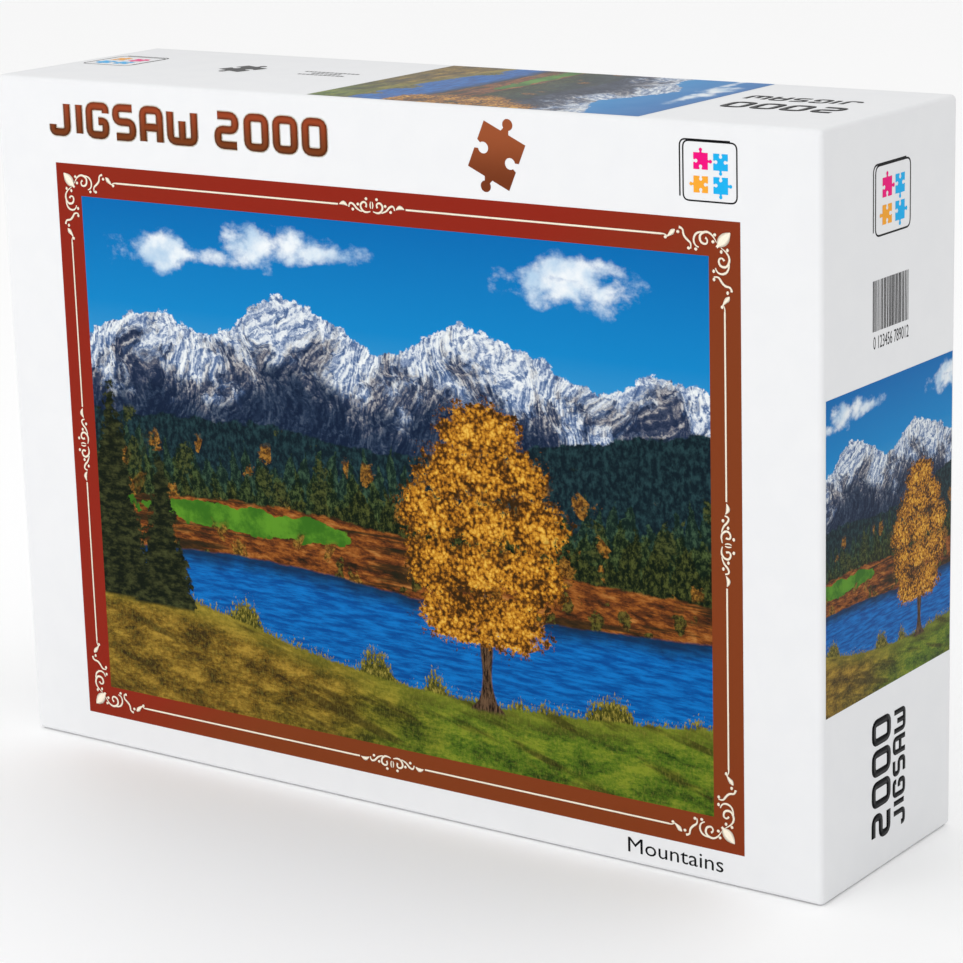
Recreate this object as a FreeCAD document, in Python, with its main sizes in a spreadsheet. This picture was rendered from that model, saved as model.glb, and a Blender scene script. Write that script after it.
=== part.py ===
import FreeCAD, Part
import os
import Sketcher

# A boxed jigsaw puzzle: a rigid set-up box that stands on one long side, with its printed face
# towards -Y. The lid telescopes over the whole depth of the base. Each half is a folded greyboard
# blank, four gummed paper stays that hold its corners, and one sheet of printed wrap that is glued
# over the outside and turned in at the rim. The base holds two sealed film bags of loose pieces,
# which have slumped onto its lower wall, and a folded picture poster in front of them.
#
# Frame: +Z up, +X to the right as the face is seen, +Y from the face to the back of the box.
# The origin is the centre of the side that the box stands on. Millimetres.

OUT = "parts"

doc = FreeCAD.newDocument("boxed_puzzle")

# ---------------------------------------------------------------- driving dimensions
SIZES = [
    ("box_width", 370.0, "outside of the lid, along X"),
    ("box_height", 270.0, "outside of the lid, along Z"),
    ("box_depth", 95.0, "face of the lid to back of the base, along Y"),
    ("board", 2.0, "greyboard thickness"),
    ("wrap", 0.25, "wrap paper with its glue line"),
    ("edge_radius", 2.0, "outside radius of every wrapped edge"),
    ("slip", 0.8, "clearance all round between lid and base"),
    ("rim_gap", 1.0, "how far the lid's rim stops short of the back of the base"),
    ("head_gap", 1.0, "gap between the base's rim and the inside of the lid's face"),
    ("turn_in", 15.0, "width of wrap turned in over each rim"),
    ("stay", 0.2, "gummed paper stay, pressed into the board"),
    ("stay_leg", 22.0, "how far a stay reaches along each wall"),
    ("stay_setback", 5.0, "gap between a stay's end and the fold of the closed end"),
    ("film", 0.3, "bag film, heavier than the real 0.05 so that it is a sound solid"),
    ("bag_height", 112.0, "height of a slumped bag without its seal"),
    ("bag_round", 24.0, "radius of a bag's upper shoulders and ends"),
    ("bag_foot", 9.0, "radius where a bag meets the wall that it lies on"),
    ("bag_gap", 1.2, "air between a bag and what is beside it"),
    ("seal_height", 16.0, "crimped seal that stands on a bag"),
    ("seal_thick", 0.8, "thickness of the crimped seal"),
    ("heap_gap", 0.3, "air between the film and the heap of pieces"),
    ("poster_wide", 297.0, "folded poster, along X"),
    ("poster_tall", 210.0, "folded poster, along Z"),
    ("poster_leaf", 0.3, "thickness of one leaf of the poster"),
    ("poster_gape", 1.0, "air between the two leaves"),
    ("poster_gap", 1.0, "air between the poster and what is beside it"),
]
sheet = doc.addObject("Spreadsheet::Sheet", "sizes")
for row, (alias, value, meaning) in enumerate(SIZES, start=1):
    sheet.set(f"A{row}", alias)
    sheet.set(f"B{row}", str(value))
    sheet.set(f"C{row}", meaning)
    sheet.setAlias(f"B{row}", alias)
doc.recompute()


def bind(thing, **bound):
    """Binds properties to expressions on the sheet. A double underscore stands for a dot."""
    for name, expression in bound.items():
        thing.setExpression(name.replace("__", "."), expression)


def on_sheet(expression):
    """Turns each alias in angle brackets into its full name on the sheet."""
    return expression.replace("<", "sizes.").replace(">", "")


# Places that several pieces share, as expressions. Depths are along Y.
LID_FACE = "(-<box_depth> / 2)"
LID_RIM = "(<box_depth> / 2 - <rim_gap>)"
BASE_BACK = "(<box_depth> / 2)"
BASE_RIM = "(-<box_depth> / 2 + <wrap> + <board> + <head_gap>)"
BASE_INSET = "(2 * <wrap> + <board> + <slip>)"  # base's outside, in from the lid's outside
TRAY_INSET = f"({BASE_INSET} + 2 * <wrap> + <board>)"  # base's turned-in wrap
TRAY_FLOOR = f"({BASE_BACK} - <wrap> - <board>)"
LID_INSIDE = f"({LID_FACE} + <wrap> + <board>)"
BEHIND_POSTER = f"({LID_INSIDE} + <head_gap> + 2 * <poster_gap> + 2 * <poster_leaf> + <poster_gape>)"


def sketch_on(body, role, name):
    sketch = body.newObject("Sketcher::SketchObject", name)
    plane = next(o for o in body.Origin.OriginFeatures if o.Role == role)
    sketch.AttachmentSupport = (plane, "")
    sketch.MapMode = "FlatFace"
    return sketch


def rectangle(sketch, low_x, high_x, low_y, high_y):
    """A rectangle whose four sides are placed by expressions, measured from the sketch's origin."""
    point = FreeCAD.Vector
    start = [(-1, -1), (1, -1), (1, 1), (-1, 1)]
    lines = []
    for (ax, ay), (bx, by) in zip(start, start[1:] + start[:1]):
        edge = Part.LineSegment(point(ax * 10, ay * 10, 0), point(bx * 10, by * 10, 0))
        lines.append(sketch.addGeometry(edge))
    for here, there in zip(lines, lines[1:] + lines[:1]):
        sketch.addConstraint(Sketcher.Constraint("Coincident", here, 2, there, 1))
    for line, way in zip(lines, ("Horizontal", "Vertical") * 2):
        sketch.addConstraint(Sketcher.Constraint(way, line))
    for line, way, expression in (
        (0, "DistanceX", low_x),
        (1, "DistanceX", high_x),
        (0, "DistanceY", low_y),
        (2, "DistanceY", high_y),
    ):
        sign = -10.0 if expression in (low_x, low_y) else 10.0
        index = sketch.addConstraint(Sketcher.Constraint(way, -1, 1, lines[line], 1, sign))
        sketch.setExpression(f"Constraints[{index}]", on_sheet(expression))


def block(name, inset, low_y, high_y, left=None, right=None, bottom=None, top=None):
    """A PartDesign body: a padded rectangle that is inset all round from the lid's outside,
    unless its own sides are given, and reaches from low_y to high_y along Y."""
    body = doc.addObject("PartDesign::Body", name)
    sketch = sketch_on(body, "XZ_Plane", name + "_outline")
    rectangle(
        sketch,
        left or f"-<box_width> / 2 + {inset}",
        right or f"<box_width> / 2 - {inset}",
        bottom or inset,
        top or f"<box_height> - {inset}",
    )
    # The sketch looks along -Y, so its own offset runs that way too.
    bind(sketch, AttachmentOffset__Base__z=on_sheet(f"-({high_y})"))
    pad = body.newObject("PartDesign::Pad", name + "_pad")
    pad.Profile = sketch
    bind(pad, Length=on_sheet(f"({high_y}) - ({low_y})"))
    body.Tip = pad
    doc.recompute()
    return body


def round_edges(body, radius, wanted):
    """Fillets the edges of a body whose middle point passes the test."""
    tip = body.Tip
    names = []
    for index, edge in enumerate(tip.Shape.Edges, start=1):
        if edge.Degenerated:
            continue
        middle = edge.valueAt((edge.FirstParameter + edge.LastParameter) / 2)
        if wanted(middle, edge.tangentAt(edge.FirstParameter)):
            names.append(f"Edge{index}")
    fillet = body.newObject("PartDesign::Fillet", f"{body.Name}_round{len(body.Group)}")
    fillet.Base = (tip, names)
    bind(fillet, Radius=on_sheet(radius))
    body.Tip = fillet
    doc.recompute()
    return body


def wrapped_block(name, inset, low_y, high_y, radius, closed_end):
    """A block with rounded walls, and a rounded closed end at low_y (-1) or high_y (+1)."""
    body = block(name, inset, low_y, high_y)
    ends = [v.Y for v in body.Shape.Vertexes]
    end = min(ends) if closed_end < 0 else max(ends)

    def outer(middle, along):
        return abs(along.y) > 0.9 or abs(middle.y - end) < 0.01

    return round_edges(body, radius, outer)


def boolean(kind, name, first, second):
    result = doc.addObject(f"Part::{kind}", name)
    result.Base = first
    result.Tool = second
    doc.recompute()
    return result


def fuse_all(name, shapes):
    result = doc.addObject("Part::MultiFuse", name)
    result.Shapes = shapes
    doc.recompute()
    return result


finished = []


def keep(thing, label):
    thing.Label = label
    finished.append(thing)
    return thing


CORNERS = [("upper_right", 1, 1), ("upper_left", -1, 1), ("lower_left", -1, 0), ("lower_right", 1, 0)]


def wrapped_half(prefix, inset, closed_y, rim_y, end):
    """One half of the box. end is -1 where the closed end faces -Y, as the lid's does, or +1.
    Makes its board, its wrap and its four corner stays."""

    def span(closed_in, rim_in):
        """low and high Y of something set in from the closed end and from the rim"""
        closed = f"({closed_y} - {end} * ({closed_in}))"
        rim = f"({rim_y} + {end} * ({rim_in}))"
        return (closed, rim) if end < 0 else (rim, closed)

    board_out = f"({inset} + <wrap>)"
    board_in = f"({inset} + <wrap> + <board>)"
    turned = f"({inset} + 2 * <wrap> + <board>)"
    past_rim = "-5"

    # board: rounded block, hollowed, with a shallow recess for each corner stay
    outside = wrapped_block(f"{prefix}_board_block", board_out, *span("<wrap>", "<wrap>"),
                            "<edge_radius> - <wrap>", end)
    hollow = block(f"{prefix}_hollow", board_in, *span("<wrap> + <board>", past_rim))
    blank = boolean("Cut", f"{prefix}_blank", outside, hollow)
    under_stay = wrapped_block(f"{prefix}_under_stay", f"({board_out} + <stay>)", *span("0", past_rim),
                               "<edge_radius> - <wrap> - <stay>", end)
    skin = boolean("Cut", f"{prefix}_stay_skin", outside, under_stay)
    stays = []
    for corner, side, upper in CORNERS:
        sides = {
            "left": f"<box_width> / 2 - {board_out} - <stay_leg>" if side > 0 else "-<box_width> / 2",
            "right": "<box_width> / 2" if side > 0 else f"-<box_width> / 2 + {board_out} + <stay_leg>",
            "bottom": f"<box_height> - {board_out} - <stay_leg>" if upper else "-1",
            "top": "<box_height> + 1" if upper else f"{board_out} + <stay_leg>",
        }
        reach = block(f"{prefix}_stay_reach_{corner}", "0", *span("<edge_radius> + <stay_setback>", "0"),
                      **sides)
        stays.append(boolean("Common", f"{prefix}_stay_{corner}", skin, reach))
    recessed = boolean("Cut", f"{prefix}_recessed", blank, fuse_all(f"{prefix}_stays", stays))
    keep(recessed, f"{prefix}_board")
    for (corner, _, _), stay in zip(CORNERS, stays):
        keep(stay, f"{prefix}_corner_stay_{corner}")

    # wrap: rounded block less the board's own block, opened at the rim, with its turned-in strip
    skin_block = wrapped_block(f"{prefix}_wrap_block", inset, *span("0", "0"), "<edge_radius>", end)
    shell = boolean("Cut", f"{prefix}_wrap_shell", skin_block, outside)
    strip = block(f"{prefix}_turned_strip", board_in,
                  *((f"({rim_y} - <turn_in>)", rim_y) if end < 0 else (rim_y, f"({rim_y} + <turn_in>)")))
    covered = boolean("Fuse", f"{prefix}_wrap_covered", shell, strip)
    mouth = block(f"{prefix}_mouth", turned, *span("<board> + 2 * <wrap>", past_rim))
    keep(boolean("Cut", f"{prefix}_wrap_sheet", covered, mouth), f"{prefix}_wrap")


def poster():
    """One sheet folded in half along its lower edge, standing on the fold in front of the bags."""
    back = f"({BEHIND_POSTER} - <poster_gap>)"
    front = f"({back} - 2 * <poster_leaf> - <poster_gape>)"
    low = f"({TRAY_INSET} + <poster_gap>)"
    body = block("poster_block", "0", front, back,
                 left="-<poster_wide> / 2", right="<poster_wide> / 2",
                 bottom=low, top=f"{low} + <poster_tall>")
    floor = min(v.Z for v in body.Shape.Vertexes)
    round_edges(body, "<poster_leaf> + <poster_gape> / 2 - 0.01",
                lambda middle, along: abs(middle.z - floor) < 0.01 and abs(along.x) > 0.9)
    between = block("poster_between", "0", f"({front} + <poster_leaf>)", f"({back} - <poster_leaf>)",
                    left="-<poster_wide> / 2 - 1", right="<poster_wide> / 2 + 1",
                    bottom=f"{low} + <poster_leaf> + <poster_gape> / 2", top=f"{low} + <poster_tall> + 1")
    keep(boolean("Cut", "poster_sheet", body, between), "poster")


def bag(side_name, side):
    """A sealed film bag of loose pieces, slumped on the lower wall of the base. side is -1 or +1."""
    def pouch(name, inset):
        near = f"(<bag_gap> / 2 + {inset})"
        far = f"(<box_width> / 2 - {TRAY_INSET} - <bag_gap> - {inset})"
        left, right = (near, far) if side > 0 else (f"-{far}", f"-{near}")
        low = f"({TRAY_INSET} + <bag_gap> / 2 + {inset})"
        high = f"({TRAY_INSET} + <bag_gap> / 2 + <bag_height> - {inset})"
        body = block(name, "0", f"({BEHIND_POSTER} + {inset})", f"({TRAY_FLOOR} - <bag_gap> - {inset})",
                     left=left, right=right, bottom=low, top=high)
        floor = min(v.Z for v in body.Shape.Vertexes)
        round_edges(body, f"<bag_round> - {inset}", lambda middle, along: middle.z > floor + 1)
        return round_edges(body, f"<bag_foot> - {inset}", lambda middle, along: middle.z < floor + 0.01)

    heap_inset = "(<film> + <heap_gap>)"
    outside = pouch(f"bag_{side_name}_outside", "0")
    inside = pouch(f"bag_{side_name}_inside", "<film>")
    heap = pouch(f"bag_{side_name}_heap", heap_inset)
    middle = f"(({BEHIND_POSTER} + {TRAY_FLOOR} - <bag_gap>) / 2)"
    near = "(<bag_gap> / 2 + <bag_round>)"
    far = f"(<box_width> / 2 - {TRAY_INSET} - <bag_gap> - <bag_round>)"
    crown = f"({TRAY_INSET} + <bag_gap> / 2 + <bag_height>)"
    seal = block(f"bag_{side_name}_seal", "0",
                 f"({middle} - <seal_thick> / 2)", f"({middle} + <seal_thick> / 2)",
                 left=near if side > 0 else f"-{far}", right=far if side > 0 else f"-{near}",
                 bottom=f"{crown} - <film> / 2", top=f"{crown} + <seal_height>")
    sealed = boolean("Fuse", f"bag_{side_name}_sealed", outside, seal)
    keep(boolean("Cut", f"bag_{side_name}_pouch", sealed, inside), f"bag_{side_name}_film")
    keep(heap, f"bag_{side_name}_pieces")


wrapped_half("lid", "0", LID_FACE, LID_RIM, -1)
wrapped_half("base", BASE_INSET, BASE_BACK, BASE_RIM, 1)
poster()
bag("left", -1)
bag("right", 1)
doc.recompute()

# ---------------------------------------------------------------- checks and files
for thing in doc.Objects:
    if {"Invalid", "Error"} & set(thing.State):
        raise RuntimeError(f"{thing.Label} failed: {thing.State}")
os.makedirs(OUT, exist_ok=True)
for thing in finished:
    shape = thing.Shape
    if shape.isNull() or not shape.isValid() or not shape.Solids:
        raise RuntimeError(f"{thing.Label} has no sound solid")
    shape.exportStep(os.path.join(OUT, f"{thing.Label}.step"))
    extent = shape.optimalBoundingBox(False)
    print(f"{thing.Label:30s} {shape.Volume / 1000:9.2f} cm3  "
          f"{extent.XLength:7.2f} x {extent.YLength:6.2f} x {extent.ZLength:7.2f} mm")
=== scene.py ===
import bpy
import math
import random
from mathutils import Matrix, Vector


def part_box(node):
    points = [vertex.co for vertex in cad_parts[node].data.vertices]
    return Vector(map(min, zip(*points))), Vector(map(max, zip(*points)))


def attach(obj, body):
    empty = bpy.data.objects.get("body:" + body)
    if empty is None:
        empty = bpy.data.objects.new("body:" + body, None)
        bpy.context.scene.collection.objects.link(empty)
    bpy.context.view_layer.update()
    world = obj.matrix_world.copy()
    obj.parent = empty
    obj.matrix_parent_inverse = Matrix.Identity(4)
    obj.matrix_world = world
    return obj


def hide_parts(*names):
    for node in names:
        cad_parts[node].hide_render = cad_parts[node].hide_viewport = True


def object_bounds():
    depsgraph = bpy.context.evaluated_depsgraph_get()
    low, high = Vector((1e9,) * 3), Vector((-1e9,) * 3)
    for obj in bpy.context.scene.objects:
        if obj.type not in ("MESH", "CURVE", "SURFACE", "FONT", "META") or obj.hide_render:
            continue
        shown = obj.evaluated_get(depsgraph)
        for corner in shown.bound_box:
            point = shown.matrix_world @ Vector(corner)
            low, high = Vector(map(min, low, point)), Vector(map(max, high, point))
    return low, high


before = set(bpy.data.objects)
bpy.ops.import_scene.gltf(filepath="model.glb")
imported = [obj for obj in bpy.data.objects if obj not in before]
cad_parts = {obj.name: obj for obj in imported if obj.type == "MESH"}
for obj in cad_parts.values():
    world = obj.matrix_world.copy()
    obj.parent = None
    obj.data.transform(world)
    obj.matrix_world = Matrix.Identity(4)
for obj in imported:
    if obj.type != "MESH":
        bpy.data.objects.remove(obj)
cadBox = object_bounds()
print("frame loaded")

# The lid as the frame gives it, and what is printed on its faces
lidLow, lidHigh = (Vector(corner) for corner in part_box("lid_wrap"))
lidWidth = lidHigh.x - lidLow.x
lidDepth = lidHigh.y - lidLow.y
lidHeight = lidHigh.z - lidLow.z
mm = 0.001
inkLift = 0.05 * mm  # one printed layer above the paper under it
pictureRatio = 1.42  # the landscape is this many times as wide as it is tall

# Each face: its lower left corner as seen from outside, the way to its right, its way up, its size
right, back, up = Vector((1, 0, 0)), Vector((0, 1, 0)), Vector((0, 0, 1))
faces = {
    "front": (lidLow, right, up, lidWidth, lidHeight),
    "right": (Vector((lidHigh.x, lidLow.y, lidLow.z)), back, up, lidDepth, lidHeight),
    "left": (Vector((lidLow.x, lidHigh.y, lidLow.z)), -back, up, lidDepth, lidHeight),
    "top": (Vector((lidLow.x, lidLow.y, lidHigh.z)), right, back, lidWidth, lidDepth),
    "under": (Vector((lidLow.x, lidHigh.y, lidLow.z)), right, -back, lidWidth, lidDepth),
}


def clearSelection():
    if bpy.context.object and bpy.context.object.mode != "OBJECT":
        bpy.ops.object.mode_set(mode="OBJECT")
    bpy.ops.object.select_all(action="DESELECT")


def pickOnly(*things):
    clearSelection()
    for thing in things:
        thing.select_set(True)
    bpy.context.view_layer.objects.active = things[0]


def settle(thing):
    pickOnly(thing)
    bpy.ops.object.transform_apply(location=True, rotation=True, scale=True)
    return thing


def editAll():
    bpy.ops.object.mode_set(mode="EDIT")
    bpy.ops.mesh.select_all(action="SELECT")


def selectFaces(thing, wanted):
    bpy.ops.object.mode_set(mode="OBJECT")
    for part in (thing.data.vertices, thing.data.edges):
        part.foreach_set("select", [False] * len(part))
    for face in thing.data.polygons:
        face.select = wanted(face)
    bpy.ops.object.mode_set(mode="EDIT")
    bpy.ops.mesh.select_mode(type="FACE")


def selectEdges(thing, wanted):
    bpy.ops.object.mode_set(mode="OBJECT")
    points = thing.data.vertices
    for part in (points, thing.data.polygons):
        part.foreach_set("select", [False] * len(part))
    for edge in thing.data.edges:
        edge.select = wanted(*(points[end].co for end in edge.vertices))
    bpy.ops.object.mode_set(mode="EDIT")
    bpy.ops.mesh.select_mode(type="EDGE")


def joined(name, things):
    pickOnly(*things)
    if len(things) > 1:
        bpy.ops.object.join()
    whole = bpy.context.object
    whole.name = whole.data.name = name
    return whole


def finish(thing, name, material, body):
    thing.name = thing.data.name = name
    thing.data.materials.clear()
    thing.data.materials.append(material)
    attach(thing, body)
    return thing


# A box is left, bottom, right and top, as shares of a face
def boxSize(face, box):
    _, _, _, width, height = faces[face]
    return (box[2] - box[0]) * width, (box[3] - box[1]) * height


def boxMiddle(box):
    return (box[0] + box[2]) / 2, (box[1] + box[3]) / 2


# Lays a flat thing, drawn about its own centre in X and Y, on a face of the lid in one ink
def printOn(face, across, along, thing, name, ink, turn=0.0, layer=1):
    corner, faceRight, faceUp, width, height = faces[face]
    normal = faceRight.cross(faceUp)
    place = corner + faceRight * (across * width) + faceUp * (along * height) + normal * (inkLift * layer)
    axes = Matrix((faceRight, faceUp, normal)).transposed().to_4x4()
    thing.matrix_world = Matrix.Translation(place) @ axes @ Matrix.Rotation(turn, 4, "Z")
    return finish(settle(thing), name, ink, "lid")


class nodeBoard:
    # Adds nodes to one tree and wires them, so that a pattern reads as arithmetic
    def __init__(self, tree):
        self.tree = tree

    def feed(self, socket, value):
        if isinstance(value, bpy.types.NodeSocket):
            self.tree.links.new(value, socket)
        elif value is not None:
            socket.default_value = value

    def math(self, operation, *values, clamp=False):
        node = self.tree.nodes.new("ShaderNodeMath")
        node.operation = operation
        node.use_clamp = clamp
        for socket, value in zip(node.inputs, values):
            self.feed(socket, value)
        return node.outputs[0]

    def add(self, a, b):
        return self.math("ADD", a, b)

    def take(self, a, b):
        return self.math("SUBTRACT", a, b)

    def times(self, a, b):
        return self.math("MULTIPLY", a, b)

    def vector(self, operation, *values):
        node = self.tree.nodes.new("ShaderNodeVectorMath")
        node.operation = operation
        for socket, value in zip(node.inputs, values):
            self.feed(socket, value)
        return node.outputs["Value" if operation in ("LENGTH", "DISTANCE", "DOT_PRODUCT") else "Vector"]

    def soften(self, value, low, high):
        node = self.tree.nodes.new("ShaderNodeMapRange")
        node.interpolation_type = "SMOOTHSTEP"
        self.feed(node.inputs["Value"], value)
        self.feed(node.inputs["From Min"], low)
        self.feed(node.inputs["From Max"], high)
        return node.outputs["Result"]

    def mix(self, share, a, b, blend="MIX"):
        node = self.tree.nodes.new("ShaderNodeMix")
        node.data_type = "RGBA"
        node.blend_type = blend
        self.feed(node.inputs["Factor"], share)
        self.feed(node.inputs[6], (*a, 1) if isinstance(a, tuple) else a)
        self.feed(node.inputs[7], (*b, 1) if isinstance(b, tuple) else b)
        return node.outputs[2]

    def noise(self, vector, scale, detail=4.0, rough=0.5, kind="FBM", skew=0.0):
        node = self.tree.nodes.new("ShaderNodeTexNoise")
        node.noise_type = kind
        self.feed(node.inputs["Vector"], vector)
        node.inputs["Scale"].default_value = scale
        node.inputs["Detail"].default_value = detail
        node.inputs["Roughness"].default_value = rough
        node.inputs["Distortion"].default_value = skew
        return node.outputs["Fac"]

    def cells(self, vector, scale, output="Distance", feature="F1", loose=1.0):
        node = self.tree.nodes.new("ShaderNodeTexVoronoi")
        node.feature = feature
        self.feed(node.inputs["Vector"], vector)
        node.inputs["Scale"].default_value = scale
        node.inputs["Randomness"].default_value = loose
        return node.outputs[output]

    def line(self, value, points):
        node = self.tree.nodes.new("ShaderNodeFloatCurve")
        curve = node.mapping.curves[0]
        while len(curve.points) < len(points):
            curve.points.new(0.5, 0.5)
        for point, place in zip(curve.points, points):
            point.location = place
        node.mapping.update()
        self.feed(node.inputs["Value"], value)
        return node.outputs["Value"]

    def ramp(self, value, stops):
        node = self.tree.nodes.new("ShaderNodeValToRGB")
        marks = node.color_ramp.elements
        while len(marks) < len(stops):
            marks.new(0.5)
        for mark, (place, colour) in zip(marks, stops):
            mark.position = place
            mark.color = (*colour, 1)
        self.feed(node.inputs["Fac"], value)
        return node.outputs["Color"]

    def split(self, vector):
        node = self.tree.nodes.new("ShaderNodeSeparateXYZ")
        self.feed(node.inputs[0], vector)
        return node.outputs

    def point(self, x, y, z=0.0):
        node = self.tree.nodes.new("ShaderNodeCombineXYZ")
        for socket, value in zip(node.inputs, (x, y, z)):
            self.feed(socket, value)
        return node.outputs[0]

    def group(self, made, **values):
        node = self.tree.nodes.new("ShaderNodeGroup")
        node.node_tree = made
        for name, value in values.items():
            self.feed(node.inputs[name], value)
        return node.outputs


def newGroup(name, inputs, outputs):
    tree = bpy.data.node_groups.new(name, "ShaderNodeTree")
    for socketName, kind, value in inputs:
        socket = tree.interface.new_socket(socketName, in_out="INPUT", socket_type=kind)
        if value is not None:
            socket.default_value = value
    for socketName, kind in outputs:
        tree.interface.new_socket(socketName, in_out="OUTPUT", socket_type=kind)
    given = tree.nodes.new("NodeGroupInput").outputs
    result = tree.nodes.new("NodeGroupOutput").inputs
    return tree, nodeBoard(tree), given, result


def newMaterial(name, **values):
    material = bpy.data.materials.new(name)
    material.use_nodes = True
    shader = material.node_tree.nodes["Principled BSDF"]
    for socketName, value in values.items():
        shader.inputs[socketName.replace("_", " ")].default_value = value
    return material, nodeBoard(material.node_tree), shader.inputs


def objectPlace(board):
    return board.tree.nodes.new("ShaderNodeTexCoord").outputs["Object"]


# Place runs from 0 to 1 across and up the picture. The scene is laid from the sky forwards.
def makeLandscape():
    tree, board, given, result = newGroup(
        "alpinePicture", [("Place", "NodeSocketVector", None)], [("Color", "NodeSocketColor")]
    )
    add, take, times, soften, mix = board.add, board.take, board.times, board.soften, board.mix
    noise, cells, line, ramp = board.noise, board.cells, board.line, board.ramp
    split, point = board.split, board.point
    place = given["Place"]
    x, y, _ = split(place)
    true = point(times(x, pictureRatio), y)  # the same scale both ways
    fine = noise(true, 75, 3, 0.65)
    medium = noise(true, 16, 5, 0.62)
    broad = noise(true, 4, 3, 0.5)

    def wobble(amount, by=medium):
        return times(take(by, 0.5), amount)

    def stretched(wide, tall):
        return board.vector("MULTIPLY", true, (wide, tall, 1.0))

    def speckle(wide, tall, scale, detail, rough, low, high):
        return soften(noise(stretched(wide, tall), scale, detail, rough), low, high)

    def shifted(vector, across, along):
        return board.vector("ADD", vector, (across, along, 0))

    def under(edge, softness=0.003):
        return soften(take(edge, y), -softness, softness)

    def blob(centre, radius):
        away = board.vector("SUBTRACT", place, (*centre, 0))
        return board.vector("LENGTH", board.vector("DIVIDE", away, (*radius, 1)))

    def nearest(distances):
        least = distances[0]
        for other in distances[1:]:
            least = board.math("MINIMUM", least, other)
        return least

    # sky, deeper towards the top, with a few fair-weather clouds strewn by chance
    chooser = random.Random(5)
    picture = ramp(y, [(0.60, (0.09, 0.40, 0.70)), (0.80, (0.004, 0.245, 0.60)), (1.0, (0.0, 0.155, 0.47))])
    puffs = []
    for cloudX, cloudY in ((0.12, 0.90), (0.37, 0.95), (0.83, 0.93)):
        for _ in range(3):
            centre = (cloudX + chooser.uniform(-0.07, 0.07), cloudY + chooser.uniform(-0.02, 0.02))
            puffs.append(blob(centre, (chooser.uniform(0.035, 0.07), chooser.uniform(0.015, 0.03))))
    billow = noise(stretched(1.0, 1.35), 12, 8, 0.60)
    veil = soften(add(nearest(puffs), times(take(0.5, billow), 4.0)), 1.45, 0.35)
    shade = soften(noise(shifted(true, 0.012, -0.02), 10, 6, 0.55), 0.40, 0.64)
    picture = mix(veil, picture, mix(shade, (0.97, 0.97, 1.0), (0.50, 0.66, 0.85)))

    # far range: snow and bare rock, lit by how steeply a field of ridges falls away
    skyline = line(x, [
        (0.0, 0.735), (0.12, 0.785), (0.22, 0.755), (0.34, 0.845), (0.43, 0.80), (0.51, 0.765), (0.63, 0.825),
        (0.74, 0.79), (0.84, 0.74), (0.93, 0.775), (1.0, 0.755),
    ])
    crags = noise(true, 42, 5, 0.68)
    ridge = add(add(skyline, wobble(0.060)), wobble(0.040, crags))
    folds = board.vector("ADD", stretched(1.3, 1.0), point(wobble(0.36, broad), wobble(0.10)))

    def relief(across, along, scale, kind="RIDGED_MULTIFRACTAL"):
        return noise(shifted(folds, across, along), scale, 10, 0.60, kind)

    slopes = take(relief(0, 0, 6.5), relief(0.014, 0.008, 6.5))
    cracks = take(relief(0, 0, 30, "FBM"), relief(-0.005, 0.004, 30, "FBM"))
    facets = take(relief(0, 0, 2.6), relief(0.03, 0.016, 2.6))
    light = add(add(slopes, times(cracks, 2.8)), times(facets, 1.1))
    light = add(light, times(take(noise(true, 110, 3, 0.7), 0.5), 0.7))
    light = soften(add(light, times(take(y, 0.72), 0.9)), -0.34, 0.46)
    rock = ramp(light, [
        (0.0, (0.010, 0.022, 0.060)), (0.40, (0.055, 0.070, 0.125)), (0.70, (0.215, 0.20, 0.23)),
        (1.0, (0.56, 0.52, 0.52)),
    ])
    snow = ramp(light, [
        (0.0, (0.075, 0.135, 0.29)), (0.32, (0.34, 0.41, 0.58)), (0.60, (0.74, 0.76, 0.83)),
        (1.0, (0.98, 0.97, 0.97)),
    ])
    below = take(skyline, y)
    snowCover = add(times(take(0.10, below), 9.0), times(take(noise(folds, 9, 8, 0.72), 0.5), 7.0))
    peaks = mix(soften(snowCover, -0.3, 0.7), rock, snow)
    inShadow = soften(add(add(below, wobble(0.20)), wobble(0.08, crags)), 0.10, 0.17)
    peaks = mix(times(inShadow, 0.9), peaks, mix(light, (0.003, 0.012, 0.038), (0.030, 0.060, 0.120)))
    picture = mix(under(ridge, 0.002), picture, peaks)

    # wooded foothills, rising to the right
    foothills = line(x, [(0.0, 0.575), (0.30, 0.59), (0.55, 0.575), (0.78, 0.635), (1.0, 0.69)])
    foothills = add(add(foothills, wobble(0.05)), wobble(0.02, crags))
    canopy = speckle(1.5, 1.0, 60, 4, 0.7, 0.42, 0.66)
    picture = mix(under(foothills), picture, mix(canopy, (0.002, 0.011, 0.018), (0.018, 0.052, 0.060)))

    # spruce woods: rows of uneven pointed tops, each row nearer and lower
    def spruceRow(base, height, across, shift, dark, pale):
        beat = add(add(times(x, across), shift), wobble(3.6, broad))
        tall = noise(point(board.math("FLOOR", beat), shift), 1.7, 1, 0.5)
        spike = board.math("POWER", times(board.math("PINGPONG", beat, 0.5), 2.0), 0.8)
        top = add(base, times(spike, times(take(tall, 0.18), height)))
        top = add(add(top, wobble(0.055, fine)), wobble(0.10))
        needles = speckle(1.5, 1.0, 58, 5, 0.80, 0.44, 0.66)
        return under(top), mix(needles, dark, pale)

    treeLine = line(x, [(0.0, 0.50), (0.22, 0.475), (0.45, 0.50), (0.70, 0.475), (1.0, 0.505)])
    for lower, across, shift, dark, pale in (
        (0.000, 41, 0.3, (0.003, 0.014, 0.011), (0.050, 0.100, 0.055)),
        (0.035, 33, 4.7, (0.002, 0.010, 0.004), (0.085, 0.120, 0.035)),
        (0.075, 23, 9.1, (0.002, 0.008, 0.002), (0.090, 0.100, 0.022)),
    ):
        cover, needles = spruceRow(take(treeLine, lower), 0.17, across, shift, dark, pale)
        picture = mix(cover, picture, needles)

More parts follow.
